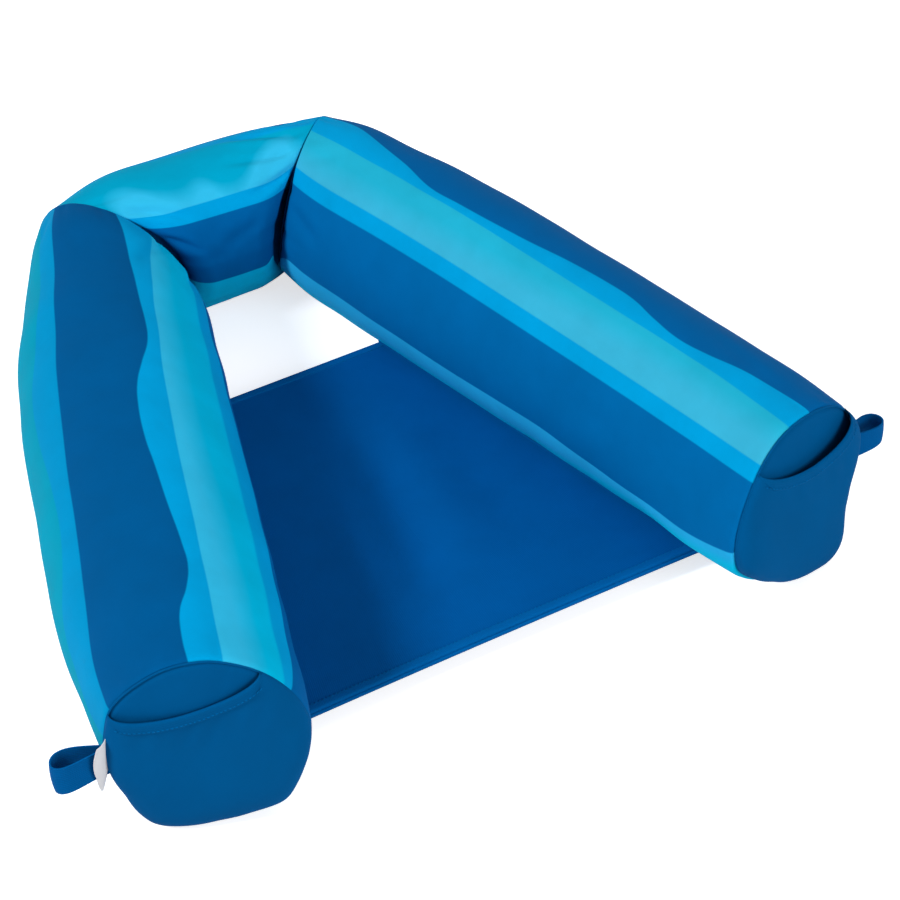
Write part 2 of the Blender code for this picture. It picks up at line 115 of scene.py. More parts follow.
# Ends of the arms
END_ROLL = 0.0028
END_ROLL_LENGTH = 0.008
END_FORM_START = 0.70
RING_MIDDLE = 0.1035
RING_ROUNDING = 5
PIPING_RADIUS = 0.0011
PIPING_AHEAD = 0.0012
PANEL_MIDDLE = 0.102
PANEL_DEPTH = 0.004
PANEL_STEP = 0.0022
PANEL_PUCKERS = 0.0072
POCKET_STAND = 0.0020
POCKET_SLACK = 0.0010
POCKET_FOLD = 0.0008
FABRIC = 0.0016
HEM_STAND = 0.0014
HEM_LEAST = 0.0002
HEM_FOLD = 0.0015
HEM_SEAM = 0.0098
# The pocket hem's section: how far below the mouth's edge, and the share of its stand or its fold
HEM_SECTION = ((0.0125, 0.0), (0.0121, 0.7), (0.0113, 1.0), (0.009, 1.0), (0.006, 1.0),
               (0.003, 1.0), (0.0012, 0.95), (-0.0004, 0.6), (-0.0012, -0.2), (-0.0010, -1.0),
               (0.0002, -1.5), (0.002, -1.6), (0.006, -1.6), (0.0125, -1.5))
STITCH_LENGTH = 0.0028
STITCH_PITCH = 0.0045
STITCH_RADIUS = 0.00042
STITCH_FLATNESS = 1.3
STITCH_SIDES = 6
STITCH_FORM = ((0, 0.25), (0.12, 0.85), (0.5, 1.0), (0.88, 0.85), (1.0, 0.25))
WEBBING_THICKNESS = 0.0016
LOOP_WIDTH = 0.032
LOOP_CUP = 0.0012
LOOP_BEND = 0.014
LABEL_BEND = 0.006
LABEL_LEVEL = 0.101
LABEL_HALF_HEIGHT = 0.030
LABEL_REACH = 0.020
LABEL_THICKNESS = 0.0005

# The sling's tapes, hems and slack, and its folds: height, then place, slant and width across,
# then place and length along
TAPE_STAND = 0.0012
TAPE_SINK = 0.0006
HEM_HALF = 0.0024
SLING_SLACK = 0.0016
SLING_FOLDS = ((0.0130, 0.045, 0.10, 0.048, -0.50, 0.17), (-0.0080, -0.014, 0.12, 0.024, -0.46, 0.13),
               (-0.0040, -0.030, 0, 0.020, -0.54, 0.05))

# How the left and the right arm lie: half widths and height, the pocket's mouth, the loop, the
# places that stand out or lie in (share along, its width, degrees round, their spread, height),
# and the end seam's outline in degrees and millimetres about its middle
ARM_PAIRS = {
    "side": (-1, 1), "seed": (11, 23), "point_dip": (0.0045, 0.0070), "outer": (0.123, 0.108),
    "inner": (0.105, 0.099), "top": (0.207, 0.206), "end_outer": (0.098, 0.084),
    "end_inner": (0.101, 0.103), "shoulder": (0.380, 0.340), "tail": (0.235, 0.300),
    "panel_dome": (0.0095, 0.0075), "pocket_low": (0.024, 0.022), "mouth_outer": (32, 44),
    "mouth_inner": (129, 133), "mouth_drop": (0.017, 0.021), "mouth_flare": (0.0, 0.001),
    "mouth_lift": ((0.0115, 0.0125, 0.0135), (0.011, 0.019, 0.022)),
    "loop_level": (0.1005, 0.124), "loop_reach": (0.057, 0.053), "loop_opening": (0.023, 0.022),
    "loop_droop": (0.0055, -0.002), "loop_root": (0.0022, 0.0015), "loop_swing": (0.0060, 0.005),
    "loop_twist": (-5, 4), "loop_taper": (0.0, 0.22),
    "forms": (((0.93, 0.10, -38, 30, -0.012), (0.05, 0.06, 80, 45, 0.007),
               (0.13, 0.12, 15, 50, -0.004)),
              ((0.95, 0.08, -25, 28, -0.004), (0.92, 0.11, 203, 28, 0.0075),
               (0.08, 0.06, 60, 40, 0.004))),
    "ring": (((0, 98), (20, 99), (36, 104.5), (48, 104), (59, 103.5), (77, 105.5), (90, 105.5),
              (100, 105.5), (112, 103), (128, 102), (146, 101.5), (164, 103), (180, 104.5),
              (193, 103.5), (209, 105), (222, 109.5), (232, 115), (240, 110.5), (250, 105.5),
              (270, 103.5), (297, 113.5), (304, 116), (319, 107.5), (330, 100), (345, 99)),
             ((0, 67), (9, 73), (17, 79), (25, 87), (36, 94), (46, 97.5), (58, 101), (70, 102.5),
              (86, 103.5), (99, 106), (110, 107), (122, 106), (132, 104), (138, 102.5),
              (149, 101.5), (161, 103), (178, 107), (196, 110), (210, 103), (230, 97),
              (251, 99.5), (270, 103.5), (283, 110), (290, 109), (296, 104), (303, 90.5),
              (308, 81), (316, 72), (322, 67.5), (340, 63), (350, 63.5))),
}
ARMS = {name: {key: pair[i] for key, pair in ARM_PAIRS.items()}
        for i, name in enumerate(("left", "right"))}

ARM_ALONG = np.array([np.sin(ARM_SPLAY), -np.cos(ARM_SPLAY), 0])
ARM_OUTWARD = np.array([np.cos(ARM_SPLAY), np.sin(ARM_SPLAY), 0])
CORNER_ANGLE = (ARM_SPLAY + pi / 2) / 2 - CORNER_TURN
CORNER_OUTWARD = np.array([np.cos(CORNER_ANGLE), np.sin(CORNER_ANGLE), 0])
CORNER_ACROSS = np.array([np.sin(CORNER_ANGLE), -np.cos(CORNER_ANGLE), 0])
CORNER_CENTRE = np.array([BACK_HALF_LENGTH, 0, 0])
UP = np.array([0.0, 0.0, 1.0])


# Tube surfaces


def column(values):
    return np.asarray(values, float)[..., None]


def smooth(share):
    share = np.clip(share, 0, 1)
    return share * share * (3 - 2 * share)


def bump(value, centre, width):
    return np.exp(-((value - centre) / width) ** 2)


def turned_from(angle, centre):
    """Angles measured from a centre, within half a turn."""
    return (angle - centre + pi) % (2 * pi) - pi


def ring_table(pairs):
    """Radii in metres at each degree round, from a few pairs, rounded off between them."""
    degrees, millimetres = np.array(pairs, float).T
    every = np.interp(np.arange(360), degrees, millimetres / 1000, period=360)
    offsets = np.arange(-3 * RING_ROUNDING, 3 * RING_ROUNDING + 1)
    weights = np.exp(-(offsets / RING_ROUNDING) ** 2)
    weights /= weights.sum()
    return sum(w * np.roll(every, o) for w, o in zip(weights, offsets))


for settings in ARMS.values():
    settings["table"] = ring_table(settings["ring"])


def ring_radius(arm, turn):
    return np.interp(np.degrees(turn), np.arange(360), arm["table"], period=360)


def soft_floor(height):
    """Heights that meet the floor in a small curve and don't pass it."""
    near = np.maximum(0, height + FLOOR_CURVE) ** 2 / (4 * FLOOR_CURVE)
    return np.where(height > FLOOR_CURVE, height, near)


def section(outer, inner, top, angle, inset=0.0):
    """Outward and upward places on a tube section that lies flattened on the floor."""
    half = np.where(np.cos(angle) > 0, outer, inner)
    upright = (top + FLOOR_SQUASH) / 2
    rise = top - upright + (upright - inset) * np.sin(angle)
    return (half - inset) * np.cos(angle), np.maximum(inset, soft_floor(rise))


def fade(share):
    return np.where(share < 1, (1 - share) ** 2, 0.0)


def swell(start, full, finish, u, shoulder, tail):
    """How far an arm's side stands out from the straight line between its two ends."""
    side = full - (full - start) * fade(u / (shoulder / ARM_LENGTH))
    side = side - (full - finish) * fade((1 - u) / (tail / ARM_LENGTH))
    return side - (start + (finish - start) * u)


def mirrored(points, side):
    """Points of the right half, taken to a side."""
    return points * np.array([side, 1, 1])


def corner_point(angle, inset, across):
    """Points beside the right corner's seam plane."""
    outward, height = section(CORNER_OUTER_RADIUS, CORNER_INNER_RADIUS, CORNER_HEIGHT, angle, inset)
    lean = CORNER_LEAN * (height - CORNER_HEIGHT / 2)
    return (CORNER_CENTRE + CORNER_OUTWARD * column(outward)
            + CORNER_ACROSS * column(CORNER_SHIFT + lean + across) + UP * column(height))


def end_ring(arm, angle, inset=0.0):
    """Outward and upward places on an arm's end seam."""
    outward, height = section(arm["end_outer"], arm["end_inner"], ARM_HEIGHT, angle)
    turn = np.arctan2(height - RING_MIDDLE, outward)
    radius = ring_radius(arm, turn) - inset
    return radius * np.cos(turn), np.maximum(0, RING_MIDDLE + radius * np.sin(turn))


def end_place(side, outward, height, ahead=0.0):
    """Points by an arm's end plane, ahead of it."""
    outward, height, ahead = np.broadcast_arrays(outward, height, ahead)
    along = ARM_LENGTH - np.tan(END_TURN) * outward + ahead
    return mirrored(CORNER_CENTRE + ARM_ALONG * column(along) + ARM_OUTWARD * column(outward)
                    + UP * column(height), side)


def arm_point(arm, u, angle, inset=0.0):
    """Points on an arm, at shares u of its length from the corner."""
    u, angle = np.broadcast_arrays(u, angle)
    seam_width = CORNER_OUTWARD @ ARM_OUTWARD
    outer = swell(CORNER_OUTER_RADIUS * seam_width, arm["outer"], arm["end_outer"],
                  u, arm["shoulder"], arm["tail"])
    inner = swell(CORNER_INNER_RADIUS * seam_width, arm["inner"], arm["end_inner"],
                  u, INNER_SHOULDER, END_TAIL)
    out = np.where(np.cos(angle) > 0, outer, inner)
    rise = swell(CORNER_HEIGHT, arm["top"], ARM_HEIGHT, u, OUTER_SHOULDER, END_TAIL)
    first = corner_point(angle, inset, SEAM_GAP)
    outward, height = section(arm["end_outer"], arm["end_inner"], ARM_HEIGHT, angle, inset)
    last = end_place(1, outward, height)
    place = first + (last - first) * column(u)
    place = place + ARM_OUTWARD * column(out * np.cos(angle))
    place = place + UP * column(rise * np.maximum(0, np.sin(angle)))
    ring_outward, ring_height = end_ring(arm, angle, inset)
    formed = smooth((u - END_FORM_START) / (1 - END_FORM_START))
    local = 0
    for centre, width, turn, spread, depth in arm["forms"]:
        from_turn = turned_from(angle, radians(turn))
        local = local + depth * bump(u, centre, width) * bump(from_turn, 0, radians(spread))
    place = place + ARM_OUTWARD * column((ring_outward - outward) * formed + local * np.cos(angle))
    upward = local * np.maximum(0, np.sin(angle))
    place = place + UP * column((ring_height - height) * formed + upward)
    return mirrored(place, arm["side"])


def back_point(share, angle):
    """Points on the back tube, from the left corner (-1) to the right one (1)."""
    share, angle = np.broadcast_arrays(share, angle)
    from_corner = BACK_HALF_LENGTH * (1 - np.abs(share))
    front = np.cos(angle) < 0
    full = np.where(front, BACK_INNER_RADIUS - CORNER_INNER_RADIUS * CORNER_OUTWARD[1],
                    BACK_OUTER_RADIUS - CORNER_OUTER_RADIUS * CORNER_OUTWARD[1])
    shoulder = np.where(front, BACK_INNER_SHOULDER, BACK_OUTER_SHOULDER)
    out = full * (1 - fade(from_corner / shoulder))
    rise = (BACK_HEIGHT - CORNER_HEIGHT) * (1 - fade(from_corner / BACK_OUTER_SHOULDER))
    place = corner_point(angle, 0.0, -SEAM_GAP)
    place[..., 1] += out * np.cos(angle)
    place[..., 2] += rise * np.maximum(0, np.sin(angle))
    place[..., 0] *= share
    return place


def hood(distance, length):
    """1 at a seam, falling to 0 in a quarter circle."""
    return 1 - np.sqrt(1 - (1 - np.clip(distance / length, 0, 1)) ** 2)


def corner_dip(angle, distance, point_dip):
    """How deep the covers are drawn in near a corner seam: most of all at its inner crease, and
    rounded off widely at the outer side, where the two tubes meet in a point."""
    creased = np.exp(-(turned_from(angle, CREASE_ANGLE) / CREASE_SPREAD) ** 4)
    length = HOOD_LENGTH + (CREASE_LENGTH - HOOD_LENGTH) * creased
    depth = SEAM_DIP + CREASE_DIP * creased
    point = point_dip * bump(turned_from(angle, POINT_ANGLE), 0, POINT_SPREAD)
    return depth * hood(distance, length) + point * np.exp(-(distance / POINT_LENGTH) ** 1.5)


# Mesh building


def grid_faces(rows, columns, wrap, start=0):
    wide = np.arange(columns if wrap else columns - 1)
    r, c = np.meshgrid(np.arange(rows - 1) * columns + start, wide, indexing="ij")
    d = (c + 1) % columns
    faces = np.stack([r + c, r + d, r + columns + d, r + columns + c], -1)
    return [tuple(f) for f in faces.reshape(-1, 4).tolist()]


def capped_tube(rows, around, start=0):
    """Faces of a tube through rings of points, with its two ends."""
    head = tuple(range(start, start + around))
    tail = tuple(start + (rows - 1) * around + i for i in range(around))[::-1]
    return grid_faces(rows, around, True, start) + [head, tail]


def unit(vectors):
    return vectors / np.maximum(np.linalg.norm(vectors, axis=-1, keepdims=True), 1e-12)


def steps_of(points, axis=0):
    return np.linalg.norm(np.diff(points, axis=axis), axis=-1)


def travelled(steps):
    return np.concatenate([[0], np.cumsum(steps)])


def corners_of(mesh):
    """The point under each corner of each face."""
    corners = np.empty(len(mesh.loops), int)
    mesh.loops.foreach_get("vertex_index", corners)
    return corners


def lay_cloth_map(mesh, uv):
    layer = mesh.uv_layers.new(name="cloth")
    layer.data.foreach_set("uv", uv.astype(np.float32).ravel())


def add_object(name, points, faces, material, uv=None):
    """A smooth mesh object; uv holds one pair of values for each point."""
    mesh = bpy.data.meshes.new(name)
    mesh.from_pydata(np.asarray(points).tolist(), [], faces)
    if uv is not None:
        lay_cloth_map(mesh, uv[corners_of(mesh)])
    shape = bmesh.new()
    shape.from_mesh(mesh)
    bmesh.ops.recalc_face_normals(shape, faces=shape.faces)
    shape.to_mesh(mesh)
    shape.free()
    mesh.shade_smooth()
    mesh.materials.append(material)
    new = bpy.data.objects.new(name, mesh)
    bpy.context.collection.objects.link(new)
    return new


def closed_sheet(name, upper, lower, material, sharp=60):
    """A closed sheet from two grids of points, its cloth map in metres along rows and columns."""
    rows, columns = upper.shape[:2]
    points = np.concatenate([upper.reshape(-1, 3), lower.reshape(-1, 3)])
    below = rows * columns
    faces = grid_faces(rows, columns, False)
    faces += [f[::-1] for f in grid_faces(rows, columns, False, below)]
    order = np.arange(below).reshape(rows, columns)
    sides = (order[0], order[1:, -1], order[-1, -2::-1], order[-2:0:-1, 0])
    rim = np.concatenate(sides).tolist()
    faces += [(a, b, below + b, below + a) for a, b in zip(rim, rim[1:] + rim[:1])]
    u = np.repeat(travelled(steps_of(upper).mean(1)), columns)
    v = np.tile(travelled(steps_of(upper, 1).mean(0)), rows)
    pairs = np.stack([u, v], 1)
    new = add_object(name, points, faces, material, np.concatenate([pairs, pairs]))
    new.data.set_sharp_from_angle(angle=radians(sharp))
    return new


def closed_sweep(name, rings, material, cap=True):
    """A tube through rings of points, closed at its ends unless the rings form a loop."""
    count, around = rings.shape[:2]
    if cap:
        faces = capped_tube(count, around)
    else:
        last = (count - 1) * around
        faces = grid_faces(count, around, True)
        faces += [(last + i, last + (i + 1) % around, (i + 1) % around, i) for i in range(around)]
    u = np.repeat(travelled(steps_of(rings.mean(1))), around)
    v = np.tile(np.arange(around) * (steps_of(rings[0]).sum() / around), count)
    return add_object(name, rings.reshape(-1, 3), faces, material, np.stack([u, v], 1))


def stitches(name, path, upward):
    """Short raised threads along a line of points."""
    length = travelled(steps_of(path))
    upward = unit(upward)
    shares, sizes = np.array(STITCH_FORM).T
    turns = 2 * pi * np.arange(STITCH_SIDES) / STITCH_SIDES
    points, faces = [], []
    for start in np.arange(STITCH_PITCH / 2, length[-1] - STITCH_LENGTH, STITCH_PITCH):
        stations = start + STITCH_LENGTH * shares
        centre = np.stack([np.interp(stations, length, path[:, k]) for k in range(3)], 1)
        wide = np.cross(unit(centre[-1] - centre[0]), upward) * STITCH_FLATNESS
        faces += capped_tube(len(shares), STITCH_SIDES, len(points))
        for middle, size in zip(centre, sizes):
            points += [middle + STITCH_RADIUS * size * (wide * np.cos(a) + upward * np.sin(a))
                       for a in turns]
    uv = np.zeros((len(points), 2))
    uv[:, 0] = np.linalg.norm(np.array(points) - points[0], axis=1)
    return add_object(name, points, faces, mat_thread, uv)


def graded(length, coarsest):
    """Places from 0 to a length, close together at both ends."""
    places = [0.0]
    step = FINEST_STEP
    while places[-1] + step < length / 2:
        places.append(places[-1] + step)
        step = min(step * STEP_GROWTH, coarsest)
    half = np.array(places)
    half = half * (length / 2 - coarsest / 2) / half[-1]
    return np.concatenate([half, length - half[::-1]])


def waves(x, seed, frequencies):
    """A sum of sines with fixed phases, about 1 high."""
    random = np.random.default_rng(seed)
    total = np.zeros_like(x)
    for frequency in frequencies:
        weight = random.uniform(0.6, 1.0)
        phase = random.uniform(0, 2 * pi)
        total += weight * np.sin(frequency * x + phase)
    return total / np.sqrt(len(frequencies))


def crease(along, angle, start, first, finish, last, width, depth):
    """A soft valley from one place (metres along, degrees round) to another, fading at its ends."""
    x, y = along - start, (angle - radians(first)) * CREASE_GIRTH
    long, high = finish - start, radians(last - first) * CREASE_GIRTH
    run = np.hypot(long, high)
    share = (x * long + y * high) / run ** 2
    off = (x * high - y * long) / run
    ends = smooth(share / CREASE_FADE) * smooth((1 - share) / CREASE_FADE)
    valley = bump(off, 0, width) - CREASE_RIDGE * bump(off, CREASE_RIDGE_PLACE * width, width)
    return -depth * valley * ends


def puckers(pattern, distance, depth, reach, start):
    """Small folds that begin beside a seam and die out along the cover."""
    shape = np.exp(-distance / reach) * (1 - np.exp(-distance / start))
    return -depth * np.maximum(0, pattern) * shape


def relieved(rings, side, relief):
    """A tube's rings, moved along their normals by a relief that fades out at the floor."""
    across = np.roll(rings, -1, axis=1) - np.roll(rings, 1, axis=1)
    normal = unit(np.cross(across, np.gradient(rings, axis=0))) * side
    above = np.clip((rings[..., 2] - FLOOR_MARGIN) / FLOOR_FADE, 0, 1)
    rings = rings + normal * column(relief * above)
    rings[..., 2] = np.maximum(rings[..., 2], 0)
    return rings


def declare(piece, nodes=(), body=None):
    """Hide the nodes a piece stands for, and attach it to the body it rides on."""
    if nodes:
        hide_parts(*nodes)
    if body:
        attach(piece, body)


# Materials


def node(tree, kind, **settings):
    new = tree.nodes.new(kind)
    for name, value in settings.items():
        setattr(new, name, value)
    return new


def link(tree, source, target):
    """Give a socket a number, a colour or another node's result."""
    if isinstance(source, bpy.types.NodeSocket):
        tree.links.new(source, target)
    else:
        target.default_value = (*source, 1) if isinstance(source, tuple) else source


def result(tree, kind, *values, **settings):
    """The first result of a node that is fed in the order of its sockets."""
    new = node(tree, kind, **settings)
    for value, socket in zip(values, new.inputs):
        link(tree, value, socket)
    return new.outputs[0]


def math_node(tree, operation, *values, clamp=False):
    return result(tree, "ShaderNodeMath", *values, operation=operation, use_clamp=clamp)


def mix_colour(tree, factor, a, b, blend="MIX"):
    new = node(tree, "ShaderNodeMix", data_type="RGBA", blend_type=blend)
    for value, i in ((factor, 0), (a, 6), (b, 7)):
        link(tree, value, new.inputs[i])
    return new.outputs[2]


def shaded(tree, colour, tone):
    """A colour multiplied by a grey tone."""
    grey = result(tree, "ShaderNodeCombineColor", tone, tone, tone)
    return mix_colour(tree, 1.0, colour, grey, "MULTIPLY")


def preset(target, values):
    """Set a node's own sockets, by their names."""
    for name, value in values.items():
        target.inputs[name].default_value = value


def noise(tree, place, **values):
    new = node(tree, "ShaderNodeTexNoise")
    link(tree, place, new.inputs["Vector"])
    preset(new, values)
    return new.outputs[0]


def remap(tree, value, low, high, to_low, to_high):
    return result(tree, "ShaderNodeMapRange", value, low, high, to_low, to_high)


def srgb(code):
    """A linear colour from a six-digit sRGB code."""
    values = [int(code[i:i + 2], 16) / 255 for i in (0, 2, 4)]
    return tuple(v / 12.92 if v <= 0.04045 else ((v + 0.055) / 1.055) ** 2.4 for v in values)


UNDERSIDE = srgb("0092CC")
DARK = srgb("005A99")
AZURE = srgb("0098D2")
CYAN = srgb("00ABCC")
# Painted light: a lighter copy of cyan for the left arm's inner top and the lower bands of the right
# arm and the back, which lie in shade
LIT_CYAN = srgb("00B6E0")
SOFT_CYAN = srgb("20AACA")
# Painted shade: a darker copy of cyan for the top of the back tube
SHADED_BACK_CYAN = srgb("009CC2")
# Painted shade: darker copies of cyan and azure, painted on the left arm's outer side
SHADED_OUTER_CYAN = srgb("0090AE")
SHADED_OUTER_AZURE = srgb("0089BE")
PALE = srgb("2FB4DE")
# Painted shade: a darker copy of the pale band for the right arm's top
SHADED_RIGHT_PALE = srgb("36ABCE")
# Painted light: a lighter copy of azure on the right arm's lowest strip beside the sling, which faces
# down into shade
LIT_STRIP_AZURE = srgb("22A6DE")
# Painted shade: a darker copy of the dark blue, painted on the left arm's outer side
SHADED_OUTER_DARK = srgb("00528B")
# Painted light: a lighter copy of the dark blue for the right arm's inner side
LIT_INNER_DARK = srgb("0062A1")
SOLID = srgb("005087")
SLING = srgb("005297")
PRINT_EDGE = 0.0012
PATCH_RANGE = (0.3, 0.7)
ROUGHNESS_RANGE = (0.75, 0.86)


def boundary(tree, u, pairs):
    """A smooth curve through points on the cloth map, or a level for a single one."""
    if len(pairs) == 1:
        return pairs[0][1]
    curve = node(tree, "ShaderNodeFloatCurve")
    link(tree, u, curve.inputs["Value"])
    line = curve.mapping.curves[0]
    line.points[0].location = pairs[0]
    line.points[-1].location = pairs[-1]
    for pair in pairs[1:-1]:
        line.points.new(*pair)
    curve.mapping.update()
    return curve.outputs[0]


def stripes(tree, u, v, bands):
    """Bands of colour round a tube: each starts at its boundary, given as places (share along,
    degrees round), and may have a softer edge than the others."""
    colour = UNDERSIDE
    for points, next_colour, *softer in bands:
        width = softer[0] if softer else PRINT_EDGE
        start = boundary(tree, u, [(x, (degrees + 90) / 360) for x, degrees in points])
        offset = math_node(tree, "SUBTRACT", v, start)
        share = math_node(tree, "MULTIPLY_ADD", offset, 0.5 / width, 0.5, clamp=True)
        colour = mix_colour(tree, share, colour, next_colour)
    return colour


def woven(name, colour=None, bands=None, weave=0.0011, strength=0.22, size=(1, 1), mottled=0.06,
          ribs=False, depth=0.10, tint=(0.15, 0.55, 1.0)):
    """Matte woven cloth: a fine over-and-under weave with its shade painted into the colour, a little
    unevenness in its colour. size is what 1 on the cloth map measures in metres, along and across;
    depth is how strongly the weave's shade is painted."""
    material = bpy.data.materials.new(name)
    material.use_nodes = True
    tree = material.node_tree
    shader = tree.nodes["Principled BSDF"]
    uv = node(tree, "ShaderNodeUVMap", uv_map="cloth")
    split = node(tree, "ShaderNodeSeparateXYZ")
    link(tree, uv.outputs[0], split.inputs[0])
    u, v = split.outputs[0], split.outputs[1]
    base = stripes(tree, u, v, bands) if bands else colour
    # Soft unevenness of the dye and the nap
    stretch = node(tree, "ShaderNodeMapping")
    link(tree, uv.outputs[0], stretch.inputs["Vector"])
    stretch.inputs["Scale"].default_value = (*size, 1)
    patches = noise(tree, stretch.outputs[0], Scale=16, Detail=5, Roughness=0.62)
    tone = remap(tree, patches, *PATCH_RANGE, 1 - mottled, 1 + mottled)
    base = shaded(tree, base, tone)
    # The weave: threads along and across, each passing over and under the next
    wave_u, wave_v = (
        math_node(tree, "SINE", math_node(tree, "MULTIPLY", way, metres / weave * pi))
        for way, metres in ((u, size[0]), (v, size[1])))
    if ribs:
        height = math_node(tree, "MULTIPLY_ADD", math_node(tree, "ABSOLUTE", wave_v), 0.8,
                           math_node(tree, "MULTIPLY", math_node(tree, "ABSOLUTE", wave_u), 0.2))
    else:
        height = math_node(tree, "ABSOLUTE", math_node(tree, "MULTIPLY", wave_u, wave_v))
    # Painted shade and highlight of the weave: the colour is darkened where the threads dip and
    # lightened where they rise
    shade = remap(tree, height, 0, 1, 1 - depth, 1 + depth * 0.35)
    link(tree, shaded(tree, base, shade), shader.inputs["Base Color"])
    nap = noise(tree, stretch.outputs[0], Scale=90, Detail=3)
    lift = node(tree, "ShaderNodeBump")
    preset(lift, {"Strength": strength, "Distance": 0.0004})
    link(tree, math_node(tree, "MULTIPLY_ADD", nap, 0.9, height), lift.inputs["Height"])
    link(tree, lift.outputs[0], shader.inputs["Normal"])
    link(tree, remap(tree, patches, *PATCH_RANGE, *ROUGHNESS_RANGE), shader.inputs["Roughness"])
    preset(shader, {"Sheen Weight": 0.004, "Sheen Roughness": 0.5, "Sheen Tint": (*tint, 1),
                    "Specular IOR Level": 0.04, "Specular Tint": (*tint, 1)})
    return material


LEFT_BANDS = (
    ([(0, -70)], DARK),
    # The outer side's bands use darker copies of the print colours: painted shade
    ([(0, -32)], SHADED_OUTER_AZURE),
    ([(0, -16), (0.3, -22), (0.6, -14), (1, -20)], SHADED_OUTER_CYAN),
    ([(0, 46), (0.12, 48), (0.22, 48.5), (0.32, 43), (0.42, 35.5), (0.5, 34.5), (0.6, 38), (0.7, 37.5),
      (0.76, 32), (0.82, 22), (0.9, 17), (1, 15)], SHADED_OUTER_AZURE),
    ([(0, 64), (0.1, 62.5), (0.2, 61.5), (0.3, 59.5), (0.4, 56.5), (0.5, 53.5), (0.6, 51), (0.7, 49.5),
      (0.8, 46.5), (0.9, 40.5), (1, 35)], SHADED_OUTER_DARK),
    ([(0, 113), (0.05, 111.5), (0.2, 111), (0.3, 111), (0.35, 109), (0.4, 103), (0.45, 97.5), (0.5, 95),
      (0.57, 94.5), (0.62, 96), (0.7, 98), (0.78, 100.5), (0.82, 101), (0.87, 97), (0.91, 91),
      (0.95, 89), (1, 89)], AZURE),
    ([(0, 137), (0.1, 126), (0.2, 121), (0.3, 118), (0.4, 114.5), (0.5, 112.5), (0.6, 111),
      (0.7, 110.5), (0.8, 109.5), (0.9, 108.5), (1, 107.5)], PALE),
    # Painted light: the inner top's cyan is a lighter copy
    ([(0, 138), (0.15, 130), (0.3, 126), (0.5, 124), (0.7, 126), (1, 128)], LIT_CYAN, 0.02),
    ([(0, 160), (0.1, 156), (0.3, 152), (0.5, 150), (0.7, 149), (1, 146)], AZURE, 0.003),
    ([(0, 172), (0.15, 168), (0.3, 168), (0.45, 171), (0.6, 170), (0.8, 164), (0.92, 159),
      (1, 152)], DARK),
    ([(0, 216), (0.3, 222), (0.6, 214), (1, 219)], AZURE),
    ([(0, 233)], CYAN),
    ([(0, 262)], AZURE),
)
RIGHT_BANDS = (
    ([(0, -78)], DARK),
    ([(0, -34)], AZURE),
    ([(0, -20), (0.4, -26), (0.7, -18), (1, -24)], CYAN),
    ([(0, 22), (0.8, 20), (1, 8)], AZURE),
    ([(0, 36), (0.8, 34), (1, 20)], DARK),
    ([(0, 68), (0.06, 70), (0.12, 75.5), (0.2, 84), (0.27, 91), (0.33, 91), (0.45, 88), (0.55, 83.5),
      (0.62, 81.5), (0.67, 82), (0.72, 86.5), (0.77, 89.5), (0.82, 88), (0.9, 82.5), (0.96, 81),
      (1, 82)], AZURE),
    ([(0, 97), (0.5, 96.5), (0.85, 97), (1, 101)], SOFT_CYAN),
    # Painted shade: a darker copy of the pale band
    ([(0, 116), (0.4, 114), (0.7, 108), (1, 111)], SHADED_RIGHT_PALE, 0.02),
    ([(0, 126.5), (0.5, 126.5), (1, 127.5)], AZURE),
    # Painted light: a lighter copy of the dark blue on the inner side
    ([(0, 137), (0.5, 136.5), (1, 138)], LIT_INNER_DARK),
    # Painted light: the strip beside the sling uses a lighter copy of azure
    ([(0, 212), (0.018, 192), (0.08, 187), (0.2, 187.5), (0.4, 189), (0.6, 187), (0.74, 190.5),
      (0.84, 187.5), (0.94, 184.5), (1, 180.5)], LIT_STRIP_AZURE),
    # Painted light: a lighter copy of cyan on the shaded underside
    ([(0, 208), (0.2, 208), (0.6, 207), (0.85, 195), (1, 188)], LIT_CYAN, 0.01),
    ([(0, 226)], AZURE),
    ([(0, 238), (0.3, 242), (0.7, 235), (1, 240)], DARK),
)
BACK_BANDS = (
    ([(0, -78)], DARK),
    ([(0, -34)], AZURE),
    ([(0, -20), (0.5, -25), (1, -20)], CYAN),
    ([(0, 20)], AZURE),
    ([(0, 33)], DARK),
    ([(0, 52), (0.5, 54), (1, 58)], AZURE),
    # Painted shade: the back's top uses a darker copy of cyan
    ([(0, 62), (0.5, 66), (1, 90)], SHADED_BACK_CYAN, 0.004),
    ([(0, 116), (0.08, 98), (0.16, 93), (0.26, 107), (0.36, 112), (0.46, 107), (0.56, 119), (0.66, 118),
      (0.76, 100), (0.86, 92), (0.94, 105), (1, 113)], PALE, 0.02),
    ([(0, 121), (0.4, 122.5), (1, 126.5)], AZURE),
    ([(0, 133), (0.4, 134.5), (1, 138.5)], DARK),
    # Painted light: a lighter copy of cyan on the back's shaded lower front
    ([(0, 184), (0.5, 187), (0.8, 188), (0.94, 190), (1, 212)], LIT_CYAN),
    ([(0, 228)], AZURE),
    ([(0, 240)], DARK),
)

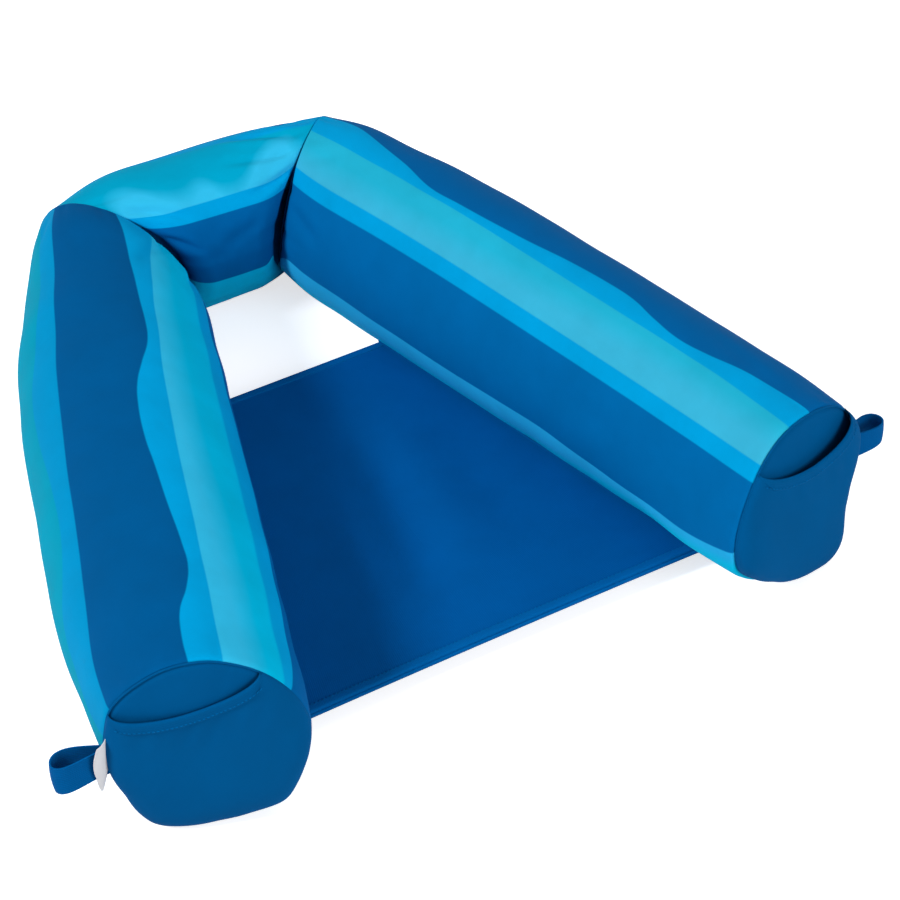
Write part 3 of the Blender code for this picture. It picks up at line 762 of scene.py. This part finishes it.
ARM_PRINT = (ARM_LENGTH, 0.66)
mat_prints = {
    "left": woven("print_left", bands=LEFT_BANDS, size=ARM_PRINT),
    "right": woven("print_right", bands=RIGHT_BANDS, size=ARM_PRINT),
    "back": woven("print_back", bands=BACK_BANDS, size=(0.26, 0.60)),
}
mat_solid = woven("solid_blue", colour=SOLID, mottled=0.05)
mat_sling = woven("sling_blue", colour=SLING, weave=0.0016, strength=0.4, depth=0.16)
mat_hem = woven("hem_blue", colour=srgb("01599D"), weave=0.0016, strength=0.4, depth=0.16)
mat_webbing = woven("webbing_blue", colour=srgb("00528F"), weave=0.0022, strength=0.55, ribs=True,
                    depth=0.2)
mat_thread = woven("thread_blue", colour=srgb("0065A5"), weave=0.0005, depth=0.15)
mat_label = woven("label_white", colour=srgb("D5D5D8"), weave=0.0006, strength=0.12, depth=0.05,
                  tint=(1, 1, 1))

AROUND = 216
TURNS = -pi / 2 + 2 * pi * np.arange(AROUND) / AROUND


def tube_cover(name, grid, shares, material, first_turn, last_turn):
    """A stuffed tube: a grid of rings whose two ends turn in and close."""
    inward = (1.0, 0.6, 0.25)
    head = [grid[0] + (grid[0].mean(0) - grid[0]) * first_turn * depth for depth in inward]
    tail = [grid[-1] + (grid[-1].mean(0) - grid[-1]) * last_turn * depth for depth in inward[::-1]]
    rings = np.stack(head + list(grid) + tail)
    new = add_object(name, rings.reshape(-1, 3), capped_tube(len(rings), AROUND), material)
    # The map starts at the lowest line, where a face's corners at 0 count as 1
    corners = corners_of(new.data)
    faces = new.data.polygons
    face_of = np.repeat(np.arange(len(faces)), [face.loop_total for face in faces])
    v = (corners % AROUND) / AROUND
    highest = np.zeros(len(faces))
    np.maximum.at(highest, face_of, v)
    v = np.where((highest[face_of] > 0.9) & (v < 0.1), v + 1, v)
    u = np.pad(shares, len(inward), "edge")[corners // AROUND]
    lay_cloth_map(new.data, np.stack([u, v], 1))
    return new


# Creases: metres along and degrees round where each starts, the same where it ends, its width
# and its depth
CREASES = {
    "left": ((0.004, 150, 0.115, 112, 0.007, 0.0030), (0.006, 176, 0.10, 150, 0.006, 0.0026),
             (0.004, 60, 0.075, 45, 0.008, 0.0018), (0.30, 140, 0.52, 128, 0.012, 0.0010),
             (0.55, 75, 0.78, 92, 0.012, 0.0008)),
    "right": ((0.24, 110, 0.77, 118, 0.010, 0.0012), (0.004, 120, 0.07, 104, 0.007, 0.0020),
              (0.004, 150, 0.09, 160, 0.008, 0.0024), (0.35, 150, 0.62, 163, 0.014, 0.0012),
              (0.60, 66, 0.79, 84, 0.010, 0.0010)),
    "back": ((0.246, 100, 0.150, 62, 0.007, 0.0036), (0.246, 112, 0.140, 96, 0.006, 0.0030),
             (0.247, 126, 0.165, 128, 0.006, 0.0030), (0.246, 84, 0.190, 48, 0.007, 0.0030),
             (0.004, 110, 0.090, 132, 0.008, 0.0030), (0.004, 140, 0.070, 160, 0.007, 0.0030),
             (0.09, 160, 0.20, 150, 0.010, 0.0020)),
}


def make_arm(name):
    """An arm's cover, stuffed with beads, with the pinch and puckers at its corner and end."""
    arm = ARMS[name]
    side, seed = arm["side"], arm["seed"]
    shares = graded(ARM_LENGTH, 0.0042) / ARM_LENGTH
    along = column(shares)
    grid = arm_point(arm, along, TURNS)
    reach = np.linalg.norm(grid[-1] - grid[0], axis=-1)
    from_corner, from_end = along * reach, (1 - along) * reach
    angle = np.broadcast_to(TURNS, from_corner.shape)
    relief = -corner_dip(angle, from_corner, arm["point_dip"])
    relief -= END_ROLL * hood(from_end, END_ROLL_LENGTH)
    relief += puckers(waves(angle, seed, (7, 11, 16, 21, 27)), from_corner, *CORNER_PUCKERS)
    relief += puckers(waves(angle, seed + 1, (11, 17, 24, 31)), from_end, *END_PUCKERS)
    lengthwise = waves(2 * pi * along, seed + 3, (1.7, 3.1, 4.7))
    relief += SLACK * waves(angle + 9 * along, seed + 2, (2, 3)) * lengthwise
    relief += sum(crease(from_corner, angle, *line) for line in CREASES[name])
    new = tube_cover(name + "_arm_cover_look", relieved(grid, side, relief), shares,
                     mat_prints[name], 0.10, 0.06)
    declare(new, [name + "_arm_cover", name + "_arm_bead_liner"])
    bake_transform(new)


def make_back():
    """The back's cover, stuffed with beads, fuller beside its left corner."""
    length = 2 * BACK_HALF_LENGTH
    stations = graded(length, 0.0038)
    shares = 2 * stations / length - 1
    across = column(stations)
    grid = back_point(column(shares), TURNS)
    reach = np.linalg.norm(grid[-1] - grid[0], axis=-1)
    nearest = column((1 - np.abs(shares)) / 2) * reach
    angle = np.broadcast_to(TURNS, nearest.shape)
    left = column((shares < 0).astype(float))
    point_dip, pattern = 0, 0
    for name, half, seed in (("left", left, 41), ("right", 1 - left, 42)):
        point_dip += ARMS[name]["point_dip"] * half
        pattern += waves(angle, seed, (6, 10, 15, 21)) * half
    relief = puckers(pattern, nearest, *BACK_PUCKERS) - corner_dip(angle, nearest, point_dip)
    relief += 0.007 * bump(across, 0.055, 0.040) * bump(angle, radians(65), radians(45))
    relief += sum(crease(across, angle, *line) for line in CREASES["back"])
    new = tube_cover("back_cover_look", relieved(grid, 1, relief), (shares + 1) / 2,
                     mat_prints["back"], 0.10, 0.10)
    declare(new, ["back_cover", "back_bead_liner"], "back")


def make_corner_seam(name):
    """The sewn allowance inside a corner's crease."""
    arm = ARMS[name]
    dip = corner_dip(TURNS, 0, arm["point_dip"])
    rings = [mirrored(corner_point(TURNS, dip + depth, across), arm["side"])
             for depth, across in ALLOWANCE_SECTION]
    new = closed_sweep(name + "_corner_seam_look", np.stack(rings, 1), mat_solid, cap=False)
    declare(new, [name + "_corner_seam"], "back")


# Ends of the arms


def make_end(name):
    """The piping and the domed panel that close an arm."""
    arm = ARMS[name]
    side = arm["side"]
    body = name + "_arm"
    rings = []
    for a in np.arange(8) * pi / 4:
        out, up = end_ring(arm, TURNS, END_ROLL - PIPING_RADIUS * (0.4 + np.cos(a)))
        rings.append(end_place(side, out, up, PIPING_AHEAD + PIPING_RADIUS * np.sin(a)))
    piping = closed_sweep(name + "_end_piping_look", np.stack(rings, 1), mat_solid, cap=False)
    declare(piping, [name + "_end_piping"], body)

    outward, height = end_ring(arm, TURNS, END_ROLL)
    pattern = PANEL_PUCKERS * np.maximum(0, waves(TURNS, arm["seed"] + 7, (9, 14, 22)))
    front, rear, uv = [], [], []
    for s in np.concatenate([np.linspace(0.004, 0.88, 18), np.linspace(0.9, 1, 6)]):
        out = outward * s
        up = PANEL_MIDDLE + (height - PANEL_MIDDLE) * s
        lift = arm["panel_dome"] * (1 - s ** 2.6) + PANEL_STEP * smooth((1 - s) / 0.05)
        front.append(end_place(side, out, up, lift - pattern * s ** 6 * (1 - s)))
        rear.append(end_place(side, out, up, -PANEL_DEPTH))
        uv.append(np.stack([out, up], 1))
    rings = front + rear[::-1]
    panel = add_object(name + "_end_panel_look", np.concatenate(rings),
                       capped_tube(len(rings), AROUND), mat_solid, np.concatenate(uv + uv[::-1]))
    declare(panel, [name + "_end_panel"], body)


def pocket_surface(arm, t, share, out=0.0, above=0.0):
    """Outward, upward and forward places on a pocket: t runs from the inner side (0) to the
    outer (pi), share from the floor to the mouth; out stands off the surface, and above carries
    on past the mouth."""
    t, share = np.broadcast_arrays(t, share)
    inset = END_ROLL - 0.001
    low_out, low_up = end_ring(arm, pi + t, inset)
    high_angle = pi - t
    high_out, high_up = end_ring(arm, high_angle, inset)
    mouth = first, last = np.radians([arm["mouth_inner"], arm["mouth_outer"]])
    (a_out, b_out), (a_up, b_up) = end_ring(arm, mouth, inset)
    s = np.clip((first - high_angle) / (first - last), 0, 1)
    inside = (high_angle > last) & (high_angle < first)
    hang = arm["mouth_drop"] * (4 * s * (1 - s)) ** 0.8
    high_out = np.where(inside, a_out + (b_out - a_out) * s, high_out)
    high_up = np.where(inside, a_up + (b_up - a_up) * s - hang, high_up)
    place_out = low_out + (high_out - low_out) * share
    place_up = low_up + (high_up - low_up) * share + above
    rim = ring_radius(arm, np.arctan2(place_up - RING_MIDDLE, place_out)) - inset
    flare = arm["mouth_flare"] * smooth((share - 0.45) / 0.5)
    flare = flare * smooth((t - 1.6) / 0.5) * smooth((high_angle + 0.2) / 0.7)
    rho = np.clip(np.hypot(place_out, place_up - RING_MIDDLE) / rim, 0, 1)
    at_mouth = np.interp(s, (0, 0.5, 1), arm["mouth_lift"])
    level = smooth(share)
    depth = arm["pocket_low"] * (1 - level) + at_mouth * level
    bulge = depth * (1 - rho ** 7) ** 0.45
    # Broad slack, and finer folds just under the mouth
    slack = POCKET_SLACK * waves(place_out * 38 + place_up * 14, arm["seed"] + 5, (1.0, 1.9))
    folds = POCKET_FOLD * waves(place_out * 160 + place_up * 50, arm["seed"] + 6, (1.0, 1.7))
    soft = (slack + folds * bump(share, 0.84, 0.10)) * (1 - rho ** 2)
    return place_out + flare, place_up, POCKET_STAND + bulge + soft + out


def make_pocket(name):
    """The pocket over an arm's end, its hem and the hem's stitches."""
    arm = ARMS[name]
    side = arm["side"]
    body = name + "_arm"
    t = np.linspace(0.012, pi - 0.012, 110)
    share = column(0.5 - 0.5 * np.cos(np.linspace(0, pi, 64)))
    out, up, ahead = pocket_surface(arm, t, share)
    upper = end_place(side, out, up, ahead)
    lower = end_place(side, out, up, ahead - FABRIC)
    pocket = closed_sheet(name + "_pocket_look", upper, lower, mat_solid)
    declare(pocket, [name + "_pocket"], body)

    # The hem: a band folded over the mouth's edge, which thins out at its two ends
    line = pi - np.radians(np.linspace(arm["mouth_inner"], arm["mouth_outer"], 90))[:, None]
    drops, stands = np.array(HEM_SECTION).T[:, None, :]
    tall = pocket_surface(arm, line, 1)[1] - pocket_surface(arm, line, 0)[1]
    from_end = np.minimum(1, np.linspace(0, 12, 90))[:, None]
    ends = smooth(from_end * from_end[::-1])
    shares = 1 - np.maximum(drops, 0) * (0.35 + 0.65 * ends) / tall
    thick = np.where(stands > 0, HEM_LEAST + (HEM_STAND - HEM_LEAST) * ends, HEM_FOLD)
    out, up, ahead = pocket_surface(arm, line, shares, stands * thick, np.maximum(0, -drops))
    hem = closed_sweep(name + "_pocket_hem_look", end_place(side, out, up, ahead), mat_solid)
    declare(hem, [name + "_pocket_hem"], body)
    out, up, ahead = pocket_surface(arm, line, 1 - HEM_SEAM / tall, HEM_STAND + 0.0001)
    path = end_place(side, out, up, ahead)[:, 0]
    thread = stitches(name + "_pocket_stitches", path, mirrored(ARM_ALONG, side))
    declare(thread, body=body)


# Loops, tapes and label


def bend_from_seam(new, name, outward, length):
    """Bake a piece's place into its points."""
    ends = [end_place(ARMS[name]["side"], outward + out, RING_MIDDLE) for out in (0, length)]
    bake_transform(new)


def make_loop(name):
    """A loop of ribbed webbing, folded double and sewn into the end seam."""
    arm = ARMS[name]
    root_out = float(end_ring(arm, 0.0, END_ROLL)[0]) - 0.0025
    theta = np.linspace(-1, 1, 49)
    reach = arm["loop_reach"] * np.cos(theta * pi / 2) ** 0.75
    swing = arm["loop_opening"] / 2 * (0.88 * np.sin(pi * theta) + 0.24 * np.sin(pi * theta / 2))
    heights = np.linspace(-0.5, 0.5, 13) * LOOP_WIDTH
    share = column(reach / arm["loop_reach"])
    twist = radians(arm["loop_twist"]) * share
    path = np.stack([reach, swing], 1)
    run = unit(np.gradient(path, axis=0))
    side_step = np.stack([run[:, 1], -run[:, 0]], 1) * WEBBING_THICKNESS / 2
    cup = LOOP_CUP * (2 * heights / LOOP_WIDTH) ** 2 * share
    lean = arm["loop_swing"] * share ** 1.5 + heights * np.sin(twist)
    tall = heights * (1 - arm["loop_taper"] * share) * np.cos(twist)
    level = arm["loop_level"] + tall - arm["loop_droop"] * share ** 1.5
    upper, lower = (
        end_place(arm["side"], root_out + p[:, :1] - cup, level, arm["loop_root"] + p[:, 1:] + lean)
        for p in (path + side_step, path - side_step))
    loop = closed_sheet(name + "_loop_look", upper, lower, mat_webbing)
    declare(loop, [name + "_loop"])
    bend_from_seam(loop, name, root_out + 0.002, LOOP_BEND)


def make_tape(name):
    """The webbing that joins the sling's edge to an arm."""
    u = column(np.linspace(SLING_FIRST, SLING_LAST, 60))
    turn = pi - SLING_EDGE_ANGLE + np.linspace(-1, 1, 9) * TAPE_HALF_ANGLE
    upper, lower = (arm_point(ARMS[name], u, turn, inset) for inset in (-TAPE_STAND, TAPE_SINK))
    tape = closed_sheet(name + "_sling_tape_look", upper, lower, mat_webbing)
    declare(tape, [name + "_sling_tape"], name + "_arm")


def make_label():
    """A blank woven label beside the left loop, curling a little."""
    root_out = float(end_ring(ARMS["left"], 0.0, END_ROLL)[0]) - 0.001
    across = column(np.linspace(0, 1, 9))
    level = np.linspace(-1, 1, 25)
    reach = LABEL_REACH * across * (0.95 + 0.18 * level - 0.48 * level ** 2)
    outwards = root_out + reach * 0.75 - 0.0025 * level + 0.007 * np.clip(-level - 0.35, 0, 1)
    forward = 0.0062 + reach * 0.50 + 0.0018 * np.sin(across * pi) + 0.003 * level ** 2 * across
    heights = LABEL_LEVEL + LABEL_HALF_HEIGHT * level - 0.003 * across
    upper = end_place(-1, outwards, heights, forward)
    lower = end_place(-1, outwards + 0.0003, heights, forward - LABEL_THICKNESS)
    label = closed_sheet("care_label_look", upper, lower, mat_label)
    declare(label, ["care_label"])
    bend_from_seam(label, "left", root_out, LABEL_BEND)


# Sling


def sling_point(name, u, across, level):
    """Points on half of the sling: across runs from 0 in the middle to 1 at the arm."""
    angle = pi - SLING_EDGE_ANGLE
    edge = arm_point(ARMS[name], u, angle, -TAPE_STAND)
    other = arm_point(ARMS["right" if name == "left" else "left"], u, angle, -TAPE_STAND)
    nearness = np.clip((u - SLING_FIRST) / (SLING_LAST - SLING_FIRST), 0, 1)
    loose = 1 - across ** 2
    place = edge * column(across) + (edge + other) / 2 * column(1 - across)
    place[..., 1] += SLING_HEM_DRAW * nearness ** 3 * loose
    x, y = place[..., 0], place[..., 1]
    # A shallow valley down the middle, a ridge beside it, and slack towards the arms
    relief = SLING_SLACK * np.sin(x * 34 + y * 11) * np.sin(y * 19 - x * 9 + 0.7) * loose
    for height, centre, slant, width, middle, length in SLING_FOLDS:
        relief = relief + height * bump(x - slant * (y + 0.45), centre, width) * bump(y, middle, length)
    flat = smooth(nearness / 0.12) * smooth((1 - nearness) / 0.12) * loose
    sag = SLING_SAG * 4 * nearness * (1 - nearness) * loose
    place[..., 2] += relief * flat - sag + level
    return place


def bend_with_arm(new):
    """Bake a piece of the sling's place into its points."""
    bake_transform(new)


def make_sling(name):
    """Half of the sling: its panel, its hems, the front hem's lower ridge, and their stitches."""
    hem = SLING_HEM_WIDTH / ARM_LENGTH
    across = np.linspace(0, 1, 70) ** 1.5
    for part, start, finish, rows, half, drop in (
            ("panel", SLING_FIRST + hem * 0.5, SLING_LAST - hem * 0.5, 150, SLING_HALF, 0.0),
            ("rear_hem", SLING_FIRST, SLING_FIRST + hem, 11, HEM_HALF, 0.0),
            ("front_hem", SLING_LAST - hem, SLING_LAST, 11, HEM_HALF, 0.0),
            ("front_binding", SLING_LAST - hem * 0.28, SLING_LAST + hem * 0.22, 9, 0.0018, -0.0028)):
        steps = np.linspace(-1, 1, rows)
        u = (start + (finish - start) * (steps + 1) / 2)[:, None]
        cloth = mat_sling
        profile = half
        if part != "panel":
            cloth = mat_hem
            profile = (half * (1 - steps ** 4) ** 0.5 + 0.0003)[:, None]
        upper = sling_point(name, u, across, drop + profile)
        lower = sling_point(name, u, across, drop - profile)
        new = closed_sheet("sling_%s_%s" % (part, name), upper, lower, cloth, sharp=70)
        declare(new, ["sling_" + part.replace("binding", "hem")])
        bend_with_arm(new)
    for part, place in (("rear", SLING_FIRST + hem * 0.86), ("front", SLING_LAST - hem * 0.86)):
        path = sling_point(name, np.array([[place]]), across, HEM_HALF)[0]
        thread = stitches("sling_%s_stitches_%s" % (part, name), path, UP)
        declare(thread)
        bend_with_arm(thread)


make_back()
for name in ARMS:
    make_arm(name)
    make_corner_seam(name)
    make_end(name)
    make_pocket(name)
    make_loop(name)
    make_tape(name)
    make_sling(name)
make_label()


# Stage

FLOOR_GLOW = 0.70
SKY_LIGHT = 0.28


def seen_ray(tree):
    """1 for what the camera sees straight, in a reflection or through glass, else 0."""
    rays = node(tree, "ShaderNodeLightPath").outputs
    indirect = math_node(tree, "MAXIMUM", rays["Is Glossy Ray"], rays["Is Transmission Ray"])
    return math_node(tree, "MAXIMUM", rays["Is Camera Ray"], indirect)


def make_floor():
    """A pale floor that turns white where nothing shades it."""
    bpy.ops.mesh.primitive_plane_add(size=14, location=(0, 0, -0.0006))
    floor = bpy.context.object
    floor.name = "floor"
    material = bpy.data.materials.new("floor_white")
    material.use_nodes = True
    tree = material.node_tree
    shader = tree.nodes["Principled BSDF"]
    preset(shader, {"Base Color": (0.8, 0.8, 0.8, 1), "Roughness": 0.9, "Specular IOR Level": 0.1})
    strength = math_node(tree, "MULTIPLY", seen_ray(tree), FLOOR_GLOW)
    glow = result(tree, "ShaderNodeEmission", (1, 1, 1), strength)
    both = result(tree, "ShaderNodeAddShader", shader.outputs[0], glow)
    link(tree, both, tree.nodes["Material Output"].inputs["Surface"])
    floor.data.materials.append(material)


def make_light(name, place, target, size, power):
    data = bpy.data.lights.new(name, "AREA")
    data.shape = "DISK"
    data.size = size
    data.energy = power
    lamp = bpy.data.objects.new(name, data)
    lamp.location = place
    lamp.rotation_euler = (Vector(target) - Vector(place)).to_track_quat("-Z", "Y").to_euler()
    bpy.context.collection.objects.link(lamp)


make_floor()
make_light("key", (-3.95, -0.4, 3.8), (0, -0.4, 0), 1.5, 245)
make_light("fill", (1.75, -4.65, 1.95), (0, -0.4, 0.1), 2.4, 125)
make_light("side", (3.5, 0.6, 3.5), (0, -0.4, 0.1), 3.0, 45)
world = bpy.data.worlds.new("studio")
bpy.context.scene.world = world
world.use_nodes = True
sky = world.node_tree
surround = sky.nodes["Background"]
link(sky, (1, 1, 1), surround.inputs[0])
link(sky, remap(sky, seen_ray(sky), 0, 1, SKY_LIGHT, 1.0), surround.inputs[1])

camera_data = bpy.data.cameras.new("camera")
camera_data.sensor_width = 36
camera_data.sensor_fit = "HORIZONTAL"
camera_data.lens = 127.04
camera_data.clip_end = 50
camera = bpy.data.objects.new("camera", camera_data)
# Its right, up and backward directions and its place, as columns
camera.matrix_world = Matrix((
    (0.89091, 0.34712, -0.29291, -0.91879),
    (-0.44687, 0.55456, -0.70198, -2.86999),
    (-0.08123, 0.75629, 0.64918, 2.26712),
    (0, 0, 0, 1)))
bpy.context.collection.objects.link(camera)
bpy.context.scene.camera = camera
bpy.context.scene.view_settings.view_transform = "Standard"
